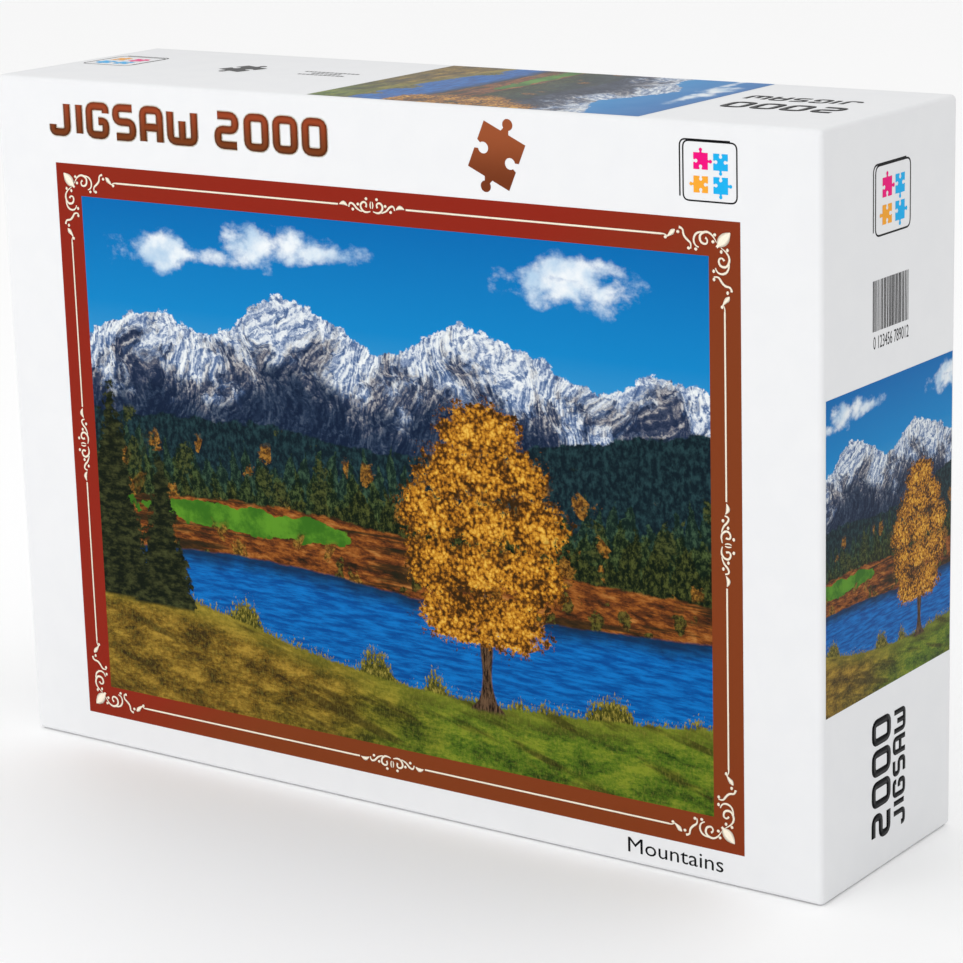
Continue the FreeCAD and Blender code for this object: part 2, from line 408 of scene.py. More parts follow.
    # leafy trees and bushes, strewn over a belt of the picture
    def strewn(picture, low, high, scale, share, dark, pale, squash=0.75):
        height = add(y, wobble(0.08))
        belt = times(soften(height, low, low + 0.02), soften(height, high, high - 0.02))
        grown = stretched(1.0, squash)
        chosen = soften(split(cells(grown, scale, "Color"))[0], 1.0 - share, 1.02 - share)
        cover = soften(add(add(cells(grown, scale), wobble(1.1, fine)), wobble(0.5)), 0.56, 0.44)
        lit = soften(noise(true, 95, 3, 0.7), 0.40, 0.64)
        return mix(times(times(times(cover, chosen), belt), 0.9), picture, mix(lit, dark, pale))

    picture = strewn(picture, 0.38, 0.56, 25, 0.30, (0.085, 0.030, 0.004), (0.44, 0.19, 0.026))
    picture = strewn(picture, 0.42, 0.60, 21, 0.30, (0.003, 0.010, 0.003), (0.085, 0.095, 0.024))

    # far bank: a rust-coloured slope with a green pasture on it
    slopeTop = add(line(x, [(0.0, 0.405), (0.35, 0.435), (0.65, 0.40), (1.0, 0.385)]), wobble(0.025))
    furrows = noise(board.vector("ADD", stretched(1.0, 3.0), point(0.0, times(x, 0.3))), 20, 7, 0.70)
    rust = ramp(furrows, [
        (0.36, (0.018, 0.010, 0.004)), (0.47, (0.130, 0.034, 0.008)), (0.55, (0.310, 0.088, 0.014)),
        (0.68, (0.52, 0.21, 0.05)),
    ])
    bands = speckle(0.5, 7.0, 6, 4, 0.6, 0.50, 0.60)
    rust = mix(times(bands, 0.85), rust, (0.016, 0.014, 0.005))
    picture = mix(under(slopeTop), picture, rust)
    pasture = add(blob((0.27, 0.398), (0.19, 0.026)), wobble(1.6))
    sward = mix(soften(medium, 0.38, 0.62), (0.040, 0.150, 0.010), (0.115, 0.300, 0.020))
    picture = mix(soften(pasture, 1.02, 0.96), picture, sward)
    picture = strewn(picture, 0.28, 0.395, 33, 0.38, (0.010, 0.014, 0.003), (0.14, 0.12, 0.02))
    picture = strewn(picture, 0.28, 0.39, 22, 0.16, (0.060, 0.030, 0.004), (0.40, 0.20, 0.03), 0.6)

    # lake
    farBank = add(line(x, [(0.0, 0.305), (0.30, 0.325), (0.62, 0.30), (1.0, 0.315)]), wobble(0.012))
    ripple = noise(stretched(1.0, 7.0), 17, 6, 0.66)
    water = mix(soften(ripple, 0.36, 0.66), (0.0, 0.070, 0.30), (0.004, 0.185, 0.58))
    mirror = soften(add(take(farBank, y), wobble(0.03)), 0.045, 0.0)
    picture = mix(under(farBank), picture, mix(times(mirror, 0.85), water, (0.004, 0.014, 0.028)))

    # near bank: a golden rise on the left, running down into green, with grasses at the water
    blades = noise(stretched(2.6, 1.0), 80, 4, 0.72)
    nearBank = line(x, [
        (0.0, 0.225), (0.16, 0.215), (0.38, 0.155), (0.60, 0.125), (0.82, 0.135), (1.0, 0.16),
    ])
    reedTop = add(nearBank, times(soften(noise(point(x, 3.0), 9, 2, 0.5), 0.48, 0.62), 0.045))
    reedTop = add(reedTop, add(wobble(0.12, blades), wobble(0.05)))
    reeds = ramp(blades, [
        (0.36, (0.010, 0.016, 0.003)), (0.50, (0.10, 0.09, 0.010)), (0.66, (0.44, 0.33, 0.06)),
    ])
    picture = mix(under(reedTop), picture, reeds)
    nearEdge = add(add(nearBank, wobble(0.010)), wobble(0.012, blades))
    tufts = wobble(0.45, noise(stretched(1.0, 1.6), 90, 4, 0.8))
    ground = add(noise(stretched(1.0, 2.4), 10, 9, 0.70), tufts)
    green, straw = (
        ramp(ground, list(zip((0.38, 0.50, 0.64), colours)))
        for colours in (
            ((0.018, 0.045, 0.004), (0.085, 0.155, 0.010), (0.24, 0.28, 0.022)),
            ((0.040, 0.022, 0.004), (0.180, 0.098, 0.011), (0.46, 0.27, 0.036)),
        )
    )
    toGreen = soften(add(take(x, times(y, 0.6)), wobble(0.35, broad)), 0.25, 0.62)
    grass = mix(toGreen, straw, green)
    grass = mix(times(soften(take(nearBank, y), 0.055, 0.0), 0.45), grass, (0.26, 0.25, 0.025))
    slanted = board.vector("ADD", stretched(0.6, 4.0), point(0.0, times(x, 1.4)))
    rolls = soften(noise(slanted, 4, 4, 0.6), 0.53, 0.63)
    grass = mix(times(rolls, 0.75), grass, (0.026, 0.016, 0.003))
    grass = mix(times(soften(blades, 0.46, 0.70), 0.30), grass, (0.36, 0.30, 0.05))
    picture = mix(under(nearEdge), picture, grass)

    # spruces standing near, at the left edge
    for centre, foot, height, halfWidth in ((0.03, 0.20, 0.46, 0.070), (0.115, 0.195, 0.33, 0.052)):
        reach = board.math("ABSOLUTE", take(x, centre))
        edge = add(times(take(foot + height, y), halfWidth / height), wobble(0.050, fine))
        cover = soften(take(add(edge, wobble(0.050)), reach), -0.002, 0.004)
        cover = times(cover, soften(y, foot - 0.006, foot + 0.004))
        bough = speckle(1.0, 1.8, 34, 6, 0.76, 0.42, 0.68)
        picture = mix(cover, picture, mix(bough, (0.003, 0.007, 0.002), (0.062, 0.066, 0.020)))

    # an autumn tree right of the middle: trunk, then a tall crown of leaf clusters
    trunkX, foot, crownFoot, crownTop = 0.66, 0.11, 0.25, 0.68
    girth = line(y, [(0.0, 0.028), (0.11, 0.028), (0.13, 0.015), (0.25, 0.010), (0.45, 0.004), (1.0, 0.003)])
    lean = add(trunkX, wobble(0.010, broad))
    trunk = soften(take(girth, board.math("ABSOLUTE", take(x, lean))), -0.0015, 0.0015)
    trunk = times(trunk, times(soften(y, foot - 0.005, foot + 0.005), soften(y, 0.55, 0.50)))
    bark = speckle(5.0, 1.0, 36, 4, 0.7, 0.38, 0.62)
    picture = mix(trunk, picture, mix(bark, (0.010, 0.005, 0.003), (0.16, 0.085, 0.045)))
    clusters = []
    for share, spread in ((0.08, 0.5), (0.30, 1.0), (0.52, 0.95), (0.72, 0.6), (0.90, 0.12)):
        height = crownFoot + (crownTop - crownFoot) * share
        for side in (-1, 0, 1):
            centre = (trunkX + side * spread * 0.075 + chooser.uniform(-0.012, 0.012), height)
            clusters.append(blob(centre, (0.046 + chooser.uniform(0, 0.016), 0.055)))
    crown = nearest(clusters)
    clumps = noise(true, 25, 7, 0.72)
    leaves = noise(true, 90, 4, 0.75)
    leaf = soften(add(add(crown, wobble(1.9, clumps)), wobble(1.9, leaves)), 1.03, 0.93)
    gaps = times(soften(clumps, 0.56, 0.64), soften(crown, 0.30, 0.70))
    shine = take(clumps, noise(shifted(true, 0.008, 0.012), 25, 7, 0.72))
    drift = take(noise(true, 9, 5, 0.6), noise(shifted(true, 0.02, 0.03), 9, 5, 0.6))
    glint = add(add(times(shine, 0.9), times(take(leaves, 0.5), 1.3)), times(drift, 0.7))
    glint = add(glint, times(take(0.47, cells(true, 130)), 0.5))
    glint = soften(add(glint, times(take(0.72, crown), 0.10)), -0.34, 0.40)
    foliage = ramp(glint, [
        (0.0, (0.035, 0.015, 0.002)), (0.22, (0.160, 0.054, 0.005)), (0.48, (0.48, 0.175, 0.012)),
        (0.74, (0.70, 0.31, 0.026)), (1.0, (0.92, 0.52, 0.08)),
    ])
    picture = mix(times(leaf, take(1.0, times(gaps, 0.6))), picture, foliage)
    board.feed(result["Color"], board.vector("MULTIPLY", picture, (0.82, 0.86, 0.86)))
    return tree


alpinePicture = makeLandscape()


def makePaperGrain():
    tree, board, given, result = newGroup(
        "paperGrain",
        [("Place", "NodeSocketVector", None), ("Scale", "NodeSocketFloat", 1.0)],
        [("Fibres", "NodeSocketFloat"), ("Mottle", "NodeSocketFloat")],
    )
    scaled = board.vector("SCALE", given["Place"])
    board.feed(scaled.node.inputs["Scale"], given["Scale"])
    fibres = board.noise(scaled, 2600, 4, 0.65)
    mottle = board.noise(scaled, 90, 3, 0.5)
    board.feed(result["Fibres"], fibres)
    board.feed(result["Mottle"], mottle)
    return tree


paperGrain = makePaperGrain()

finishes = {
    "wrapTint": (0.80, 0.805, 0.815),
    "wrapShade": (0.75, 0.76, 0.78),
    "wrapRoughness": 0.38,
    "printRoughness": 0.30,
    "boardTint": (0.40, 0.36, 0.31),
    "boardFleck": (0.20, 0.18, 0.155),
    "ink": (0.004, 0.004, 0.005),
    "posterMargin": 8 * mm,
    "posterRim": 0.15 * mm,  # paint reaches this deep into the poster's outer skins
    "crimpPitch": 0.9 * mm,
}


def bumpFrom(board, height, strength, distance):
    node = board.tree.nodes.new("ShaderNodeBump")
    node.inputs["Strength"].default_value = strength
    node.inputs["Distance"].default_value = distance
    board.feed(node.inputs["Height"], height)
    return node.outputs["Normal"]


def printedPaper(name, roughness=finishes["printRoughness"]):
    material, board, shader = newMaterial(name, Roughness=roughness, Specular_IOR_Level=0.05)
    grain = board.group(paperGrain, Place=objectPlace(board))
    board.feed(shader["Roughness"], board.add(roughness - 0.05, board.times(grain["Mottle"], 0.1)))
    board.feed(shader["Normal"], bumpFrom(board, grain["Fibres"], 0.05, 0.00005))
    return material, board, shader, grain


def makeWrapMaterial():
    material, board, shader, grain = printedPaper("coatedPaper", finishes["wrapRoughness"])
    tint = board.mix(board.soften(grain["Mottle"], 0.3, 0.7), finishes["wrapTint"], finishes["wrapShade"])
    tint = board.mix(0.25, finishes["wrapTint"], tint)
    board.feed(shader["Base Color"], tint)
    return material


def makeBoardMaterial():
    material, board, shader = newMaterial("greyboard", Roughness=0.9)
    grain = board.group(paperGrain, Place=objectPlace(board), Scale=0.35)
    flecks = board.soften(board.noise(objectPlace(board), 900, 4, 0.7), 0.54, 0.66)
    tint = board.mix(board.times(flecks, 0.6), finishes["boardTint"], finishes["boardFleck"])
    board.feed(shader["Base Color"], board.mix(board.times(grain["Mottle"], 0.25), tint, (0.52, 0.48, 0.42)))
    board.feed(shader["Normal"], bumpFrom(board, grain["Fibres"], 0.35, 0.0002))
    return material


# Uncoated paper, mottled between two colours, with its fibres showing
def makeRawPaper(name, dark, pale, grainScale, bump):
    material, board, shader = newMaterial(name, Roughness=0.8)
    grain = board.group(paperGrain, Place=objectPlace(board), Scale=grainScale)
    board.feed(shader["Base Color"], board.mix(grain["Mottle"], dark, pale))
    board.feed(shader["Normal"], bumpFrom(board, grain["Fibres"], bump, 0.0001))
    return material


# One ink, which may run from one colour to another up the piece
def inkMaterial(name, low, high=None, span=None):
    material, board, shader, grain = printedPaper(name)
    if high is None:
        worn = tuple(share * 1.3 + 0.003 for share in low)
        tint = board.mix(board.times(grain["Mottle"], 0.1), low, worn)
    else:
        height = board.split(objectPlace(board))[2]
        tint = board.mix(board.soften(height, *span), low, high)
    board.feed(shader["Base Color"], tint)
    return material


# The alpine picture, read from the piece's own map
def makePictureMaterial():
    material, board, shader, _ = printedPaper("alpinePrint")
    fromMap = board.tree.nodes.new("ShaderNodeUVMap").outputs["UV"]
    board.feed(shader["Base Color"], board.group(alpinePicture, Place=fromMap)["Color"])
    return material


# The poster is folded along its lower edge with the picture outside, its top towards +X
def makePosterMaterial():
    low, high = (Vector(corner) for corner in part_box("poster"))
    material, board, shader, _ = printedPaper("posterPrint")
    x, y, z = board.split(objectPlace(board))
    rise = board.math("DIVIDE", board.take(z, low.z), 2 * (high.z - low.z))
    pictureUp = board.math("DIVIDE", board.take(x, low.x), high.x - low.x)
    middle = (low.y + high.y) / 2
    onBack = board.soften(y, middle - 0.01 * mm, middle + 0.01 * mm)
    across = board.add(0.5, board.times(rise, board.take(board.times(onBack, 2.0), 1.0)))
    picture = board.group(alpinePicture, Place=board.point(across, pictureUp))["Color"]
    fromMiddle = board.math("ABSOLUTE", board.take(y, middle))
    skin, blur = (high.y - low.y) / 2 - finishes["posterRim"], 0.05 * mm
    outside = board.soften(fromMiddle, skin - blur, skin + blur)
    margin = board.math("MINIMUM", board.take(x, low.x), board.take(high.x, x))
    edge = finishes["posterMargin"]
    printed = board.times(outside, board.soften(margin, edge - 2 * blur, edge + 2 * blur))
    board.feed(shader["Base Color"], board.mix(printed, finishes["wrapTint"], picture))
    return material


def makeFilmMaterial():
    material, board, shader = newMaterial("bagFilm", Roughness=0.12, IOR=1.5, Alpha=0.2)
    place = objectPlace(board)
    creases = board.noise(place, 55, 6, 0.6, "RIDGED_MULTIFRACTAL", 0.6)
    height = board.split(place)[2]
    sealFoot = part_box("bag_left_pieces")[1].z + 2 * mm
    sealed = board.soften(height, sealFoot, sealFoot + mm)
    crimp = board.times(board.math("PINGPONG", height, finishes["crimpPitch"]), sealed)
    shader["Base Color"].default_value = (0.93, 0.96, 0.98, 1)
    veil = board.add(0.13, board.times(board.soften(creases, 0.45, 1.1), 0.30))
    board.feed(shader["Alpha"], board.add(veil, board.times(crimp, 250.0)))
    board.feed(shader["Normal"], bumpFrom(board, board.add(creases, board.times(crimp, 600.0)), 0.8, 0.0012))
    return material


coatedPaper = makeWrapMaterial()
greyboard = makeBoardMaterial()
gummedPaper = makeRawPaper("gummedPaper", (0.44, 0.27, 0.13), (0.58, 0.39, 0.21), 0.5, 0.25)
alpinePrint = makePictureMaterial()
posterPrint = makePosterMaterial()
pieceLining = makeRawPaper("pieceLining", (0.25, 0.30, 0.33), (0.36, 0.40, 0.42), 0.6, 0.2)
bagFilm = makeFilmMaterial()
blackInk = inkMaterial("blackInk", finishes["ink"])
creamInk = inkMaterial("creamInk", (0.93, 0.84, 0.68))
print("materials made")


wrap = {
    "edgeRadius": 2.0 * mm,
    "edgeSteps": 5,
    "paper": 0.25 * mm,
    "board": 2.0 * mm,
    "turnIn": 15.0 * mm,
}


# A rounded block with one end open, whose paper goes over the rim and down inside
def makeWrap(name, low, high, openEnd, body):
    size = high - low
    bpy.ops.mesh.primitive_cube_add(size=1, location=(low + high) / 2, scale=size)
    paper = settle(bpy.context.object)
    rimY = high.y if openEnd > 0 else low.y
    closedY = low.y if openEnd > 0 else high.y
    selectFaces(paper, lambda face: abs(face.center.y - rimY) < mm * 0.1)
    bpy.ops.mesh.delete(type="ONLY_FACE")
    selectEdges(paper, lambda a, b: abs(a.y - b.y) > mm or abs(a.y - closedY) < mm * 0.1)
    bpy.ops.mesh.bevel(offset=wrap["edgeRadius"], segments=wrap["edgeSteps"], profile=0.5, affect="EDGES")
    selectEdges(paper, lambda a, b: abs(a.y - rimY) < mm * 0.1 and abs(b.y - rimY) < mm * 0.1)
    middle = (low + high) / 2
    inward = wrap["board"] + 2 * wrap["paper"]

    def drawIn(amount):
        across, along = size.x - 2 * amount, size.z - 2 * amount
        return across, along

    def extrudeTo(fromIn, toIn, moveY):
        bpy.ops.mesh.extrude_region_move(TRANSFORM_OT_translate={"value": (0, moveY, 0)})
        before, after = drawIn(fromIn), drawIn(toIn)
        bpy.ops.transform.resize(
            value=(after[0] / before[0], 1, after[1] / before[1]), center_override=middle
        )

    fold = wrap["paper"] * 0.8
    extrudeTo(0, fold * 0.35, 0.0)
    extrudeTo(fold * 0.35, inward, 0.0)
    extrudeTo(inward, inward, -openEnd * wrap["turnIn"])
    extrudeTo(inward, inward - wrap["paper"] * 0.9, 0.0)
    bpy.ops.mesh.select_all(action="SELECT")
    bpy.ops.mesh.normals_make_consistent(inside=False)
    bpy.ops.object.mode_set(mode="OBJECT")
    pickOnly(paper)
    bpy.ops.object.shade_smooth_by_angle(angle=math.radians(40))
    return finish(paper, name, coatedPaper, body)


lidPaper = makeWrap("lidPaper", lidLow, lidHigh, 1, "lid")
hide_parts("lid_wrap")
baseLow, baseHigh = (Vector(corner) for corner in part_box("base_wrap"))
basePaper = makeWrap("basePaper", baseLow, baseHigh, -1, "base")
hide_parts("base_wrap")
print("wraps folded")


front = {
    "picture": (0.114, 0.092, 0.882, 0.833),
    "band": 12.4 * mm,
    "bandRed": (0.255, 0.017, 0.007),
    "bandBrown": (0.205, 0.042, 0.010),
    "bandSweep": (9.0, -13.0),  # how fast the red turns brown, across and up
    "title": "JIGSAW 2000",
    "titleBox": (0.0755, 0.918, 0.446, 0.970),
    "titleLow": (0.160, 0.038, 0.008),
    "titleHigh": (0.300, 0.052, 0.016),
    "caption": "Mountains",
    "captionBox": (0.784, 0.0165, 0.892, 0.0375),
    "iconPlace": (0.649, 0.938),
    "iconSize": 29 * mm,
    "iconTilt": -24.0,
    "iconLow": (0.16, 0.035, 0.010),
    "iconHigh": (0.30, 0.075, 0.025),
    "iconRise": (243 * mm, 262 * mm),  # where the one colour starts turning and the other is reached
    "badgePlace": (0.884, 0.9385),
}


def flatPlane(width, height):
    bpy.ops.mesh.primitive_plane_add(size=1)
    plane = bpy.context.object
    plane.scale = (width, height, 1)
    return settle(plane)


# A printed picture, or the part of it between two places
def makePicture(name, face, box, crop=((0, 0), (1, 1)), turn=0.0):
    wide, tall = boxSize(face, box)
    if turn:
        wide, tall = tall, wide
    sheet = flatPlane(wide, tall)
    editAll()
    bpy.ops.mesh.subdivide(number_cuts=3)
    bpy.ops.object.mode_set(mode="OBJECT")
    cropMap(sheet, *crop)
    return printOn(face, *boxMiddle(box), sheet, name, alpinePrint, turn)


def cropMap(thing, low, high):
    for corner in thing.data.uv_layers.active.data:
        corner.uv = [a + (b - a) * share for a, b, share in zip(low, high, corner.uv)]


def makeFrameBand():
    band = flatPlane(*(side + 2 * front["band"] for side in boxSize("front", front["picture"])))
    editAll()
    bpy.ops.mesh.inset(thickness=front["band"], depth=0)
    bpy.ops.mesh.delete(type="FACE")
    bpy.ops.object.mode_set(mode="OBJECT")
    material, board, shader, _ = printedPaper("frameInk")
    x, _, z = board.split(objectPlace(board))
    sweep = board.add(*(board.times(way, pace) for way, pace in zip((x, z), front["bandSweep"])))
    glow = board.math("SINE", board.add(sweep, board.times(board.noise(objectPlace(board), 5, 1), 3.0)))
    tint = board.mix(board.soften(glow, -0.8, 0.8), front["bandRed"], front["bandBrown"])
    board.feed(shader["Base Color"], tint)
    return printOn("front", *boxMiddle(front["picture"]), band, "frameBand", material)


makeFrameBand()


# Flat strokes in the plane of X and Y, each a list of points with the stroke's width at each
def inkStrokes(strokes, smooth=False):
    curve = bpy.data.curves.new("strokes", "CURVE")
    curve.dimensions = "3D"
    curve.bevel_depth = 0.5
    curve.bevel_resolution = 0
    curve.use_fill_caps = True
    curve.resolution_u = 4
    for points, widths, closed in strokes:
        spline = curve.splines.new("NURBS" if smooth else "POLY")
        spline.points.add(len(points) - 1)
        for point, (x, y), width in zip(spline.points, points, widths):
            point.co = (x, y, 0, 1)
            point.radius = width
        spline.use_cyclic_u = closed
        if smooth:
            spline.order_u = 3
            spline.use_endpoint_u = not closed
    drawn = bpy.data.objects.new("strokes", curve)
    bpy.context.collection.objects.link(drawn)
    pickOnly(drawn)
    bpy.ops.object.convert(target="MESH")
    drawn = bpy.context.object
    drawn.scale = (1, 1, 0.01)
    return settle(drawn)


# Replaces each corner of a line of straight runs with an arc
def roundedRun(points, radius, closed, steps=4):
    run = []
    count = len(points)
    for index, corner in enumerate(points):
        if not closed and index in (0, count - 1):
            run.append(corner)
            continue
        here = Vector(corner)
        before, after = Vector(points[index - 1]) - here, Vector(points[(index + 1) % count]) - here
        cut = min(radius, before.length / 2, after.length / 2)
        first, last = here + before.normalized() * cut, here + after.normalized() * cut
        for step in range(steps + 1):
            t = step / steps
            run.append(tuple(first * (1 - t) ** 2 + here * 2 * t * (1 - t) + last * t**2))
    return run


# Square-shouldered capitals and figures, on a grid 4 wide and 6 high: runs, and whether closed
letters = {
    "J": [([(0, 1.6), (0, 0), (3.6, 0), (3.6, 6)], False)],
    "I": [([(0.5, 0), (0.5, 6)], False)],
    "G": [([(4, 4.6), (4, 6), (0, 6), (0, 0), (4, 0), (4, 2.9), (2.2, 2.9)], False)],
    "S": [([(4, 6), (0, 6), (0, 3.1), (4, 3.1), (4, 0), (0, 0)], False)],
    "A": [([(0, -0.55), (0, 6), (4, 6), (4, -0.55)], False), ([(0.4, 2.4), (3.6, 2.4)], False)],
    "W": [([(0, 6), (0, 0), (5.6, 0), (5.6, 6)], False), ([(2.8, 0.3), (2.8, 4.2)], False)],
    "2": [([(0, 6), (4, 6), (4, 3.1), (0, 3.1), (0, 0), (4.3, 0)], False)],
    "0": [([(0, 0), (4, 0), (4, 6), (0, 6)], True)],
}
lettering = {"weight": 1.6, "gap": 0.9, "space": 3.0, "corner": 1.3, "edge": 0.35, "capital": 6}


def lettered(words, width, height, extraWeight=0.0):
    strokes = []
    pen = 0.0
    weight = lettering["weight"]
    for letter in words:
        if letter == " ":
            pen += lettering["space"]
            continue
        widest = 0.0
        for points, closed in letters[letter]:
            widest = max(widest, max(x for x, _ in points))
            run = roundedRun([(x + pen, y) for x, y in points], lettering["corner"], closed)
            strokes.append((run, [weight + extraWeight] * len(run), closed))
        pen += widest + weight + lettering["gap"]
    whole = pen - lettering["gap"] - weight
    scaleX, scaleY = width / (whole + weight), height / (lettering["capital"] + weight)
    drawn = inkStrokes(strokes)
    drawn.location = (-whole / 2 * scaleX, -lettering["capital"] / 2 * scaleY, 0)
    drawn.scale = (scaleX, scaleY, 0.001)
    return settle(drawn)


# Text made flat, fitted to a width and a height, centred on its own middle
def flatText(words, width, height):
    bpy.ops.object.text_add()
    text = bpy.context.object
    text.data.body = words
    text.data.resolution_u = 3
    pickOnly(text)
    bpy.ops.object.convert(target="MESH")
    text = bpy.context.object
    bpy.ops.object.origin_set(type="ORIGIN_GEOMETRY", center="BOUNDS")
    text.location = (0, 0, 0)
    text.scale = (width / text.dimensions.x, height / text.dimensions.y, 1)
    return settle(text)


def makeTitle():
    wide, tall = boxSize("front", front["titleBox"])
    middle = boxMiddle(front["titleBox"])
    edge = lettered(front["title"], wide, tall, lettering["edge"])
    printOn("front", *middle, edge, "titleEdge", creamInk)
    low = lidLow.z + front["titleBox"][1] * lidHeight
    ink = inkMaterial("titleInk", front["titleLow"], front["titleHigh"], (low, low + tall))
    printOn("front", *middle, lettered(front["title"], wide, tall), "title", ink, layer=2)
    caption = flatText(front["caption"], *boxSize("front", front["captionBox"]))
    printOn("front", *boxMiddle(front["captionBox"]), caption, "caption", blackInk)


makeTitle()


# Scrollwork, in millimetres along the band from its corner and in from its outer edge
scrolls = {
    "corner": [
        (
            [
                (9.2, 7.6), (10.4, 5.4), (13.0, 3.9), (15.9, 5.2), (15.6, 8.0), (13.2, 8.6), (12.5, 6.9),
                (13.6, 6.2),
            ],
            [0.3, 0.6, 0.9, 1.0, 0.9, 0.8, 0.6, 0.9],
        ),
        ([(13.8, 4.3), (16.6, 4.3), (18.4, 6.6), (17.8, 9.3), (16.2, 9.7)], [0.4, 0.8, 0.9, 0.6, 0.5]),
        (
            [(24.0, 3.4), (22.4, 3.6), (22.3, 5.9), (20.9, 7.4), (19.0, 8.6), (19.4, 10.4)],
            [1.0, 0.7, 0.9, 0.9, 0.7, 0.5],
        ),
        ([(9.0, 9.5), (8.6, 8.6), (7.2, 6.2), (4.9, 4.6), (3.9, 3.9)], [0.2, 1.4, 3.4, 2.0, 0.2]),
    ],
    "cornerDots": [(10.6, 7.4), (9.9, 5.0), (17.4, 10.4), (20.2, 10.3), (24.4, 5.0)],
    "bud": [
        ([(25.6, 4.3), (26.4, 4.9), (27.5, 6.0), (28.8, 7.0)], [0.2, 2.2, 1.4, 0.3]),
        ([(28.6, 6.9), (29.6, 6.0), (31.2, 6.2)], [0.3, 0.5, 0.6]),
    ],
    "budDots": [(29.4, 7.2)],
    "middle": [
        (
            [(0.6, 7.9), (2.6, 8.6), (4.6, 7.6), (5.2, 5.6), (3.6, 4.4), (2.0, 5.2), (2.6, 6.5)],
            [0.4, 0.8, 0.9, 0.9, 0.8, 0.7, 0.9],
        ),
        ([(4.4, 8.2), (6.6, 7.6), (8.2, 5.6), (10.2, 5.2), (10.4, 6.9)], [0.4, 0.8, 0.9, 0.7, 0.6]),
        ([(0.3, 4.3), (0.9, 5.6), (0.3, 6.9)], [0.3, 0.9, 0.3]),
        ([(11.0, 6.6), (12.2, 5.6), (13.6, 5.6), (14.8, 6.2)], [0.2, 1.7, 1.5, 0.2]),
    ],
    "middleDots": [(2.4, 3.4), (6.2, 5.6), (8.6, 7.6)],
    "lineWidth": 0.75,
    "lineStart": 31.0,
    "lineEnd": 15.4,
}


def dotStroke(x, y, radius=0.62):
    shares = (-1, -0.86, -0.5, 0, 0.5, 0.86, 1)
    points = [(x + radius * share, y) for share in shares]
    return points, [2 * radius * math.sqrt(max(0.02, 1 - share * share)) for share in shares]


def makeFiligree():
    band = front["band"] / mm
    halfWide, halfTall = (side / mm / 2 + band for side in boxSize("front", front["picture"]))
    curved, straight = [], []

    # a place along and into the band, from the corner given by the two signs
    def fromCorner(point, signX, signY, upright):
        along, inward = point if not upright else (point[1], point[0])
        return (signX * (halfWide - along) * mm, signY * (halfTall - inward) * mm)

    def fromMiddle(point, side, sign, upright):
        half = halfWide if upright else halfTall
        offset, inward = sign * point[0], side * (half - point[1])
        return (inward * mm, offset * mm) if upright else (offset * mm, inward * mm)

    def add(strokes, dots, place):
        for points, widths in strokes + [dotStroke(*dot) for dot in dots]:
            curved.append(([place(point) for point in points], [width * mm for width in widths], False))

    for upright in (False, True):
        half = halfTall if upright else halfWide
        for signX in (-1, 1):
            for signY in (-1, 1):
                for part in ("corner", "bud"):
                    add(scrolls[part], scrolls[part + "Dots"],
                        lambda point: fromCorner(point, signX, signY, upright))
        for side in (-1, 1):
            for sign in (-1, 1):
                add(scrolls["middle"], scrolls["middleDots"],
                    lambda point: fromMiddle(point, side, sign, upright))
                ends = [(half - scrolls["lineStart"], band / 2), (scrolls["lineEnd"], band / 2)]
                run = [fromMiddle(end, side, sign, upright) for end in ends]
                straight.append((run, [scrolls["lineWidth"] * mm] * 2, False))
    filigree = joined("filigree", [inkStrokes(curved, smooth=True), inkStrokes(straight)])
    return printOn("front", *boxMiddle(front["picture"]), filigree, "filigree", creamInk, layer=3)


makeFiligree()
print("front printed")


# One side of a piece from 0 to 1, with a knob (1) or a socket (-1)
def sideLine(kind, steps):
    head, neck, reach = 0.115, 0.062, 0.175
    start = math.asin(neck / head)
    line = [(0.0, 0.0), (0.5 - neck - 0.03, 0.0)]
    for step in range(steps + 1):
        angle = math.pi * 1.5 - start - (2 * math.pi - 2 * start) * step / steps
        line.append((0.5 + head * math.cos(angle), kind * (reach + head * math.sin(angle))))
    line.append((0.5 + neck + 0.03, 0.0))
    return line


def pieceOutline(kinds, steps):
    outline = []
    for turn, kind in enumerate(kinds):
        angle = turn * math.pi / 2
        for along, out in sideLine(kind, steps):
            x, y = along - 0.5, -0.5 - out
            outline.append(
                (x * math.cos(angle) - y * math.sin(angle), x * math.sin(angle) + y * math.cos(angle))
            )
    return outline


def flatPiece(kinds, width, height, steps):
    outline = pieceOutline(kinds, steps)
    bpy.ops.mesh.primitive_circle_add(vertices=len(outline), radius=0.5, fill_type="NGON")
    piece = bpy.context.object
    for corner, (x, y) in zip(piece.data.vertices, outline):
        corner.co = (x * width, y * height, 0)
    return piece


def makeIcon(name, face, place, size, turn, ink):
    icon = flatPiece((1, -1, 1, -1), size * 0.66, size * 0.62, 14)
    return printOn(face, *place, icon, name, ink, math.radians(turn))


# A plain badge: a rounded frame with a second one peeking out behind it, and four coloured tiles
badge = {
    "wide": 21.0 * mm,
    "tall": 20.2 * mm,
    "line": 0.55 * mm,
    "corner": 2.4 * mm,
    "peek": 1.3 * mm,
    "tile": 0.27,  # a tile's side as a share of the badge's width
    "tiles": (
        ("TileOne", "magentaInk", -0.17, 0.17, (-1, 1, 1, -1)),
        ("TileTwo", "cyanInk", 0.20, 0.17, (1, -1, -1, -1)),
        ("TileThree", "orangeInk", -0.17, -0.22, (-1, -1, -1, 1)),
        ("TileFour", "cyanInk", 0.20, -0.22, (1, 1, -1, -1)),
    ),
    "colours": {
        "magentaInk": (0.80, 0.004, 0.19),
        "cyanInk": (0.010, 0.40, 0.78),
        "orangeInk": (0.85, 0.36, 0.030),
    },
}
badgeInks = {name: inkMaterial(name, colour) for name, colour in badge["colours"].items()}


